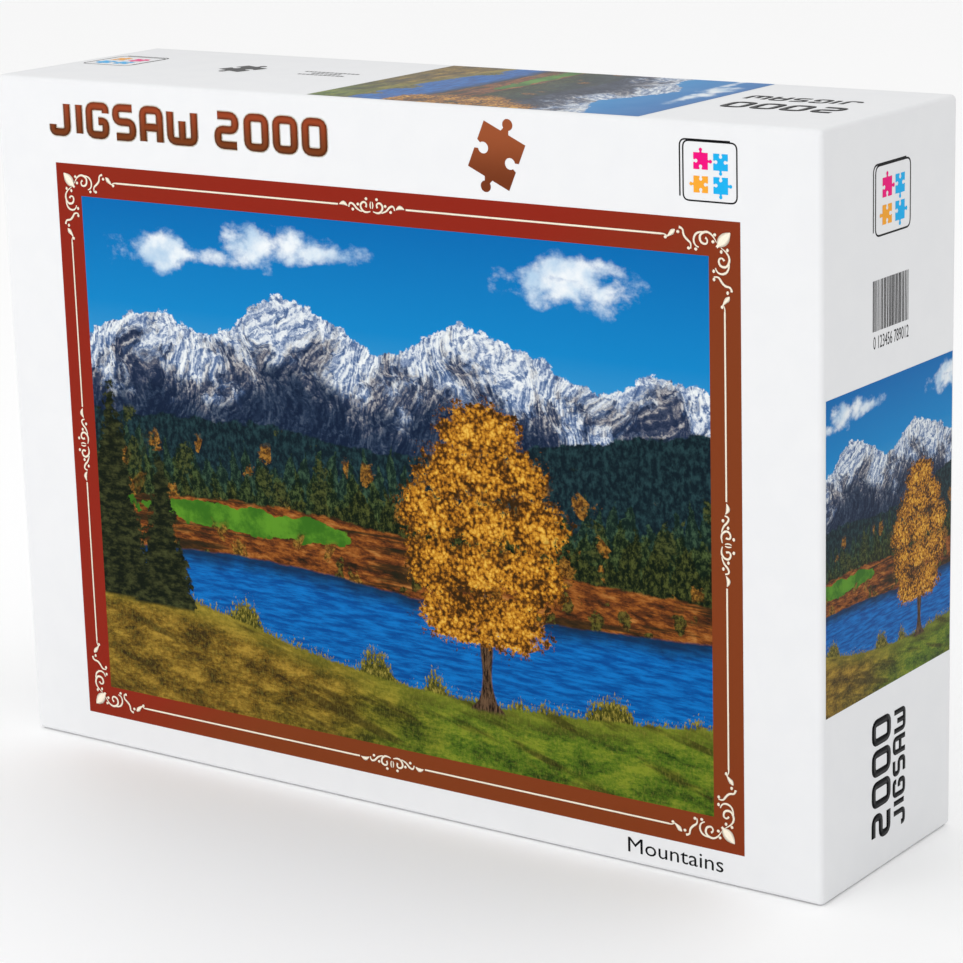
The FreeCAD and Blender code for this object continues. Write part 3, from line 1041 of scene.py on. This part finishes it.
def makeBadge(name, face, place, scale=1.0, turn=0.0):
    wide, tall = badge["wide"] * scale, badge["tall"] * scale
    line, corner, peek = badge["line"] * scale, badge["corner"] * scale, badge["peek"] * scale
    x, y = wide / 2, tall / 2
    loop = roundedRun([(-x, -y), (x, -y), (x, y), (-x, y)], corner, True, 6)
    hook = roundedRun(
        [(x - peek * 2, y + peek * 0.3), (-x - peek, y + peek * 0.3), (-x - peek, -y + peek)], corner,
        False, 6,
    )
    outline = inkStrokes([(loop, [line] * len(loop), True), (hook, [line] * len(hook), False)])
    printOn(face, *place, outline, name + "Frame", blackInk, turn)
    tile = wide * badge["tile"]
    for tileName, ink, across, along, kinds in badge["tiles"]:
        shape = flatPiece(kinds, tile, tile, 8)
        shape.location = (across * wide, along * tall, 0)
        printOn(face, *place, settle(shape), name + tileName, badgeInks[ink], turn)


# What the four sides of the lid carry, as shares of each side
sides = {
    "badgePlace": (0.5135, 0.8925),
    "badgeScale": 1.18,
    "barcodeBox": (0.364, 0.728, 0.644, 0.793),
    "modules": 95,  # the narrowest bars that would fill the code
    "figuresBox": (0.364, 0.705, 0.644, 0.722),
    "picture": (0.021, 0.2513, 0.994, 0.6635),
    "pictureCrop": ((0.225, 0.0), (0.815, 1.0)),
    "count": (0.445, 0.128),
    "countSize": (45.5 * mm, 14.0 * mm),
    "word": (0.586, 0.1275),
    "wordSize": (44.5 * mm, 9.5 * mm),
    "edgeBadge": (0.052, 0.58),
    "edgeIcon": (0.222, 0.565),
    "edgeIconSize": 22 * mm,
    "edgeIconTilt": -20,
    "edgeLines": (0.335, 0.56),
    "lineLengths": (26, 14, 22),  # millimetres
    "lineHeight": 1.5 * mm,
    "linePitch": 3.6 * mm,
    "edgePicture": (0.418, 0.021, 0.805, 0.994),
    "edgeCrop": ((0.18, 0.0), (0.643, 1.0)),
    "edgeCount": (0.896, 0.44),
    "edgeWord": (0.888, 0.635),
}


def makeBarcode(name, face):
    chooser = random.Random(13)
    wide, tall = boxSize(face, sides["barcodeBox"])
    module = wide / sides["modules"]
    bars = []
    at = -wide / 2
    while at < wide / 2 - 4 * module:
        thick = chooser.choice((1, 1, 2, 2, 3)) * module
        bar = flatPlane(thick, tall)
        bar.location = (at + thick / 2, 0, 0)
        bars.append(settle(bar))
        at += thick + chooser.choice((1, 1, 1, 2, 2)) * module
    printOn(face, *boxMiddle(sides["barcodeBox"]), joined(name, bars), name, blackInk)
    figures = flatText("0 123456 789012", *(share * 0.96 for share in boxSize(face, sides["figuresBox"])))
    printOn(face, *boxMiddle(sides["figuresBox"]), figures, name + "Figures", blackInk)


def makeEndSide(face):
    makeBadge(face + "Badge", face, sides["badgePlace"], sides["badgeScale"])
    makeBarcode(face + "Barcode", face)
    near, low, far, high = sides["picture"]
    if face == "left":
        near, far = 1 - far, 1 - near
    makePicture(face + "Picture", face, (near, low, far, high), sides["pictureCrop"])
    quarter = math.radians(90)
    for part, words in (("count", "2000"), ("word", "JIGSAW")):
        text = lettered(words, *sides[part + "Size"])
        printOn(face, *sides[part], text, face + part.capitalize(), blackInk, quarter)


def makeLongSide(face):
    quarter, half = math.radians(-90), math.radians(180)
    makeBadge(face + "Badge", face, sides["edgeBadge"], sides["badgeScale"], quarter)
    makeIcon(face + "Icon", face, sides["edgeIcon"], sides["edgeIconSize"], sides["edgeIconTilt"], blackInk)
    rows = []
    for row, length in enumerate(sides["lineLengths"]):
        words = flatText("-" * (length // 2), length * mm, sides["lineHeight"])
        words.location = (0, (1 - row) * sides["linePitch"], 0)
        rows.append(settle(words))
    small = joined(face + "SmallPrint", rows)
    printOn(face, *sides["edgeLines"], small, face + "SmallPrint", blackInk)
    low, near, high, far = sides["edgePicture"]
    if face == "under":
        near, far = 1 - far, 1 - near
    makePicture(face + "Picture", face, (low, near, high, far), sides["edgeCrop"], quarter)
    for part, words, size in (("edgeCount", "2000", "countSize"), ("edgeWord", "JIGSAW", "wordSize")):
        text = lettered(words, *sides[size])
        printOn(face, *sides[part], text, face + part.replace("edge", ""), blackInk, half)


makePicture("frontPicture", "front", front["picture"])
iconInk = inkMaterial("iconInk", front["iconLow"], front["iconHigh"], front["iconRise"])
makeIcon("pieceIcon", "front", front["iconPlace"], front["iconSize"], front["iconTilt"], iconInk)
makeBadge("frontBadge", "front", front["badgePlace"])
for endFace in ("right", "left"):
    makeEndSide(endFace)
for longFace in ("top", "under"):
    makeLongSide(longFace)
print("sides printed")


heap = {
    "kinds": (  # knobs and sockets round each kind of piece
        (1, -1, 1, -1), (1, 1, -1, -1), (-1, 1, 1, -1), (1, 1, 1, -1), (-1, -1, 1, -1), (1, -1, -1, -1),
    ),
    "piece": (19.2 * mm, 17.0 * mm, 1.9 * mm),
    "countAcross": 50,
    "countUp": 40,
    "round": 23.4 * mm,
    "footFill": 12 * mm,  # the heap is rounded above, and flat where it stands
    # two layers inside the film: how many pieces, least and greatest depth, sway, tries for a place
    "layers": ((380, 2.4 * mm, 4.2 * mm, 0.07, 9), (300, 7.0 * mm, 10.0 * mm, 0.35, 4)),
    "cornerSink": 9.0,  # millimetres deeper at a rounded corner
    "loose": 320,  # pieces that fill the middle, which makes a thousand in a bag
    "looseSway": 0.5,
    "looseInset": 15 * mm,
    "printOut": 0.62,  # share of the pieces that show their printed side
    "nearFoot": 13 * mm,
    "flatAtFoot": (3, 6),  # millimetres above the foot
    "uprightAtFoot": (12.5, 19),
}


# A cut piece: printed on one side, lined on the other
def makePieceShape(kinds):
    wide, tall, thick = heap["piece"]
    piece = flatPiece(kinds, wide, tall, 3)
    for corner in piece.data.uv_layers.active.data:
        corner.uv = [share - 0.5 for share in corner.uv]
    editAll()
    bpy.ops.mesh.extrude_region_move(TRANSFORM_OT_translate={"value": (0, 0, thick)})
    bpy.ops.mesh.select_all(action="SELECT")
    bpy.ops.mesh.normals_make_consistent(inside=False)
    bpy.ops.object.mode_set(mode="OBJECT")
    piece.data.materials.append(alpinePrint)
    piece.data.materials.append(pieceLining)
    for face in piece.data.polygons:
        face.material_index = 0 if face.normal.z > 0.5 else 1
    return piece


# How far a place is outside a rounded block, and which way is out
def outOfBlock(place, middle, half, radius):
    core = half - Vector((radius,) * 3)
    away = place - middle
    beyond = Vector([math.copysign(max(abs(a) - c, 0.0), a) for a, c in zip(away, core)])
    if beyond.length > 1e-9:
        return beyond.length - radius, beyond.normalized()
    gaps = [c - abs(a) for a, c in zip(away, core)]
    axis = gaps.index(min(gaps))
    out = Vector((0, 0, 0))
    out[axis] = math.copysign(1.0, away[axis])
    return -gaps[axis] - radius, out


def scatterPieces(side, shapes):
    chooser = random.Random(7 if side == "left" else 8)
    low, high = (Vector(corner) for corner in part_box(f"bag_{side}_pieces"))
    footHeight = low.z
    low.z -= heap["footFill"]
    middle, half = (low + high) / 2, (high - low) / 2
    placed = []

    def anywhere():
        return Vector([chooser.uniform(a, b) for a, b in zip(low, high)])

    # nothing pokes out of the bag's flat foot
    def rested(spot, out):
        if spot.z > footHeight + heap["nearFoot"]:
            return spot, out
        level = Vector((out.x, out.y, 0))
        if level.length < 0.3:
            return Vector((spot.x, spot.y, footHeight + chooser.uniform(*heap["flatAtFoot"]) * mm)), out
        raised = Vector((spot.x, spot.y, footHeight + chooser.uniform(*heap["uprightAtFoot"]) * mm))
        return raised, level.normalized()

    # pieces pressed towards the film, each as far as it can be from the ones before it
    def layer(count, nearest, furthest, sway, tries):
        before = []
        for _ in range(count):
            best, bestGap = None, -1.0
            for _ in range(tries):
                spot = anywhere()
                outside, out = outOfBlock(spot, middle, half, heap["round"])
                flat = max(abs(share) for share in out)
                depth = chooser.uniform(nearest, furthest) + (1 - flat) * heap["cornerSink"] * mm
                spot, out = rested(spot - out * (outside + depth), out)
                gap = min(((spot - other).length for other in before), default=1.0)
                if gap > bestGap:
                    best, bestGap = (spot, out), gap
            before.append(best[0])
            placed.append((best[0], best[1], sway))

    for settings in heap["layers"]:
        layer(*settings)
    inset = heap["looseInset"]
    inner = half - Vector((inset, inset, inset + heap["footFill"]))
    for _ in range(heap["loose"]):
        spot = middle + Vector([chooser.uniform(-a, a) for a in inner])
        out = Vector([chooser.gauss(0, 1) for _ in range(3)]).normalized()
        placed.append((spot, out, heap["looseSway"]))

    cells = [(i, j) for i in range(heap["countAcross"]) for j in range(heap["countUp"])]
    chooser.shuffle(cells)
    copies = []
    for (spot, out, sway), (i, j) in zip(placed, cells):
        shape = chooser.choice(shapes)
        facing = out if chooser.random() < heap["printOut"] else -out
        facing = (facing + Vector([chooser.uniform(-sway, sway) for _ in range(3)])).normalized()
        spin = Matrix.Rotation(chooser.uniform(0, 6.28), 4, "Z")
        turn = facing.to_track_quat("Z", "Y").to_matrix().to_4x4() @ spin
        mesh = shape.data.copy()
        mesh.transform(Matrix.Translation(spot) @ turn @ Matrix.Translation((0, 0, -heap["piece"][2] / 2)))
        for corner in mesh.uv_layers.active.data:
            u, v = corner.uv
            corner.uv = ((i + 0.5 + u) / heap["countAcross"], (j + 0.5 + v) / heap["countUp"])
        copy = bpy.data.objects.new("piece", mesh)
        bpy.context.collection.objects.link(copy)
        copies.append(copy)
    pieces = joined(side + "Pieces", copies)
    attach(pieces, f"bag_{side}")
    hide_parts(f"bag_{side}_pieces")


bag = {
    "shoulder": 23.0 * mm,
    "foot": 8.0 * mm,
    "seal": 16.0 * mm,
    "sealThick": 0.35 * mm,
    "crumple": 1.6 * mm,
    "crumpleSize": 0.022,
    "overlap": 0.5 * mm,  # the seal reaches this far into the pouch
}


def makeFilm(side):
    low, high = (Vector(corner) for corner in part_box(f"bag_{side}_film"))
    crown = Vector((high.x, high.y, high.z - bag["seal"]))
    bpy.ops.mesh.primitive_cube_add(size=1, location=(low + crown) / 2, scale=crown - low)
    pouch = settle(bpy.context.object)
    selectEdges(pouch, lambda a, b: max(a.z, b.z) > low.z + mm)
    bpy.ops.mesh.bevel(offset=bag["shoulder"], segments=6, profile=0.5, affect="EDGES")
    selectEdges(pouch, lambda a, b: max(a.z, b.z) < low.z + 0.1 * mm)
    bpy.ops.mesh.bevel(offset=bag["foot"], segments=3, profile=0.5, affect="EDGES")
    bpy.ops.mesh.select_all(action="SELECT")
    bpy.ops.mesh.subdivide(number_cuts=7)
    bpy.ops.object.mode_set(mode="OBJECT")
    crumple = bpy.data.textures.new("crumple", "CLOUDS")
    crumple.noise_scale = bag["crumpleSize"]
    crumple.noise_depth = 3
    wrinkles = pouch.modifiers.new("wrinkles", "DISPLACE")
    wrinkles.texture = crumple
    wrinkles.strength = bag["crumple"]
    wrinkles.mid_level = 1.0
    pickOnly(pouch)
    bpy.ops.object.modifier_apply(modifier="wrinkles")
    middle = (low + crown) / 2
    wide = high.x - low.x - 2 * bag["shoulder"]
    bpy.ops.mesh.primitive_cube_add(
        size=1,
        location=(middle.x, middle.y, high.z - bag["seal"] / 2 - bag["overlap"]),
        scale=(wide, bag["sealThick"], bag["seal"] + 2 * bag["overlap"]),
    )
    seal = settle(bpy.context.object)
    editAll()
    bpy.ops.mesh.bevel(offset=bag["sealThick"] * 0.3, segments=1, affect="EDGES")
    bpy.ops.object.mode_set(mode="OBJECT")
    film = joined(side + "Film", [pouch, seal])
    bpy.ops.object.shade_smooth_by_angle(angle=math.radians(50))
    finish(film, side + "Film", bagFilm, f"bag_{side}")
    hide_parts(f"bag_{side}_film")


def fillBox():
    shapes = [makePieceShape(kinds) for kinds in heap["kinds"]]
    for side in ("left", "right"):
        scatterPieces(side, shapes)
        makeFilm(side)
    for shape in shapes:
        bpy.data.objects.remove(shape)


fillBox()
print("bags filled")


def dressNodes():
    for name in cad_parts:
        for part, material in (("board", greyboard), ("stay", gummedPaper), ("poster", posterPrint)):
            if part in name:
                node = bpy.data.objects[name]
                node.data.materials.clear()
                node.data.materials.append(material)


dressNodes()
print("boards, stays and poster dressed")


studio = {
    "place": (0.6749, -0.9198, 0.4129),
    "azimuth": 35.85,
    "elevation": 14.51,
    "roll": -1.65,
    "lens": 115.2,
    "skyLow": 0.66,  # the room's light is softer near the floor than overhead
    "skyRise": 0.42,
    "aim": (0, 0, 0.13),
    "lights": (
        ("keyLight", (-0.5, -2.0, 0.7), 1.4, 11.0),
        ("topLight", (0.0, 0.3, 2.2), 1.8, 1.5),
    ),
}


def makeStudio():
    bpy.ops.mesh.primitive_plane_add(size=12, location=(0, 0, cadBox[0].z - 0.0002))
    floor = bpy.context.object
    floor.name = "floor"
    material, _, shader = newMaterial("floorPaper", Roughness=0.6)
    shader["Base Color"].default_value = (1, 1, 1, 1)
    floor.data.materials.append(material)
    world = bpy.data.worlds.new("studioLight")
    world.use_nodes = True
    backdrop = nodeBoard(world.node_tree)
    seen = world.node_tree.nodes.new("ShaderNodeLightPath").outputs["Is Camera Ray"]
    towards = world.node_tree.nodes.new("ShaderNodeTexCoord").outputs["Generated"]
    rise = backdrop.math("MAXIMUM", backdrop.split(towards)[2], 0.0)
    glow = backdrop.add(studio["skyLow"], backdrop.times(rise, studio["skyRise"]))
    strength = backdrop.add(backdrop.times(glow, backdrop.take(1.0, seen)), seen)
    backdrop.feed(world.node_tree.nodes["Background"].inputs["Strength"], strength)
    world.node_tree.nodes["Background"].inputs["Color"].default_value = (1, 1, 1, 1)
    bpy.context.scene.world = world
    for name, place, size, power in studio["lights"]:
        bpy.ops.object.light_add(type="AREA", location=place)
        light = bpy.context.object
        light.name = name
        light.data.shape = "DISK"
        light.data.size = size
        light.data.energy = power
        towardsBox = Vector(studio["aim"]) - Vector(place)
        light.rotation_euler = towardsBox.to_track_quat("-Z", "Y").to_euler()


def makeCamera():
    bpy.ops.object.camera_add(location=studio["place"])
    camera = bpy.context.object
    camera.name = "camera"
    camera.data.sensor_width = 36
    camera.data.lens = studio["lens"]
    camera.data.clip_start = 0.01
    camera.data.dof.use_dof = False
    aim = Matrix.Rotation(math.radians(studio["azimuth"]), 3, "Z")
    aim = aim @ Matrix.Rotation(math.radians(90 - studio["elevation"]), 3, "X")
    aim = aim @ Matrix.Rotation(math.radians(studio["roll"]), 3, "Z")
    camera.rotation_euler = aim.to_euler()
    bpy.context.scene.camera = camera


makeStudio()
makeCamera()
bpy.context.scene.view_settings.view_transform = "Standard"
print("studio set")
